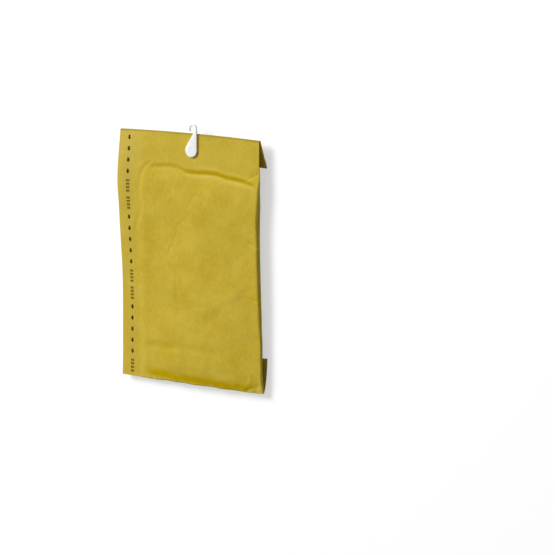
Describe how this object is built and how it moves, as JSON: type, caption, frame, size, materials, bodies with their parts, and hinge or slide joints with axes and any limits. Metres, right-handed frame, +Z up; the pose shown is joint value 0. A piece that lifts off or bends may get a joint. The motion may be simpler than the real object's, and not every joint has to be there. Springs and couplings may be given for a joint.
{
  "type": "padded envelope",
  "caption": "Padded paper mailing bag lying face up, its top end folded back around a plastic hang hook and its closure flap folded under the pad.",
  "frame": {"origin": "middle of the flat patch on the back of the padded pocket, on the surface that the bag lies on", "axes": "+Y along the bag towards the top fold and the hook's crook, +X across the bag to the right as seen from the front, +Z up out of the front face"},
  "size_m": [0.14, 0.2161, 0.0135],
  "materials": {
    "bag_paper": "uncoated brown wrapping paper, matt, with dark printed marks",
    "hook_plastic": "moulded white plastic, slightly glossy"
  },
  "bodies": {
    "bag": {"padded_bag": "bag_paper"},
    "hook": {"hang_hook": "hook_plastic"}
  },
  "joints": [
    {"name": "hook_swivel", "type": "hinge", "parent": "bag", "child": "hook", "pos_m": [0.0032, 0.0906, 0], "axis": [0, 0, 1], "range_deg": [-120, 120]}
  ]
}
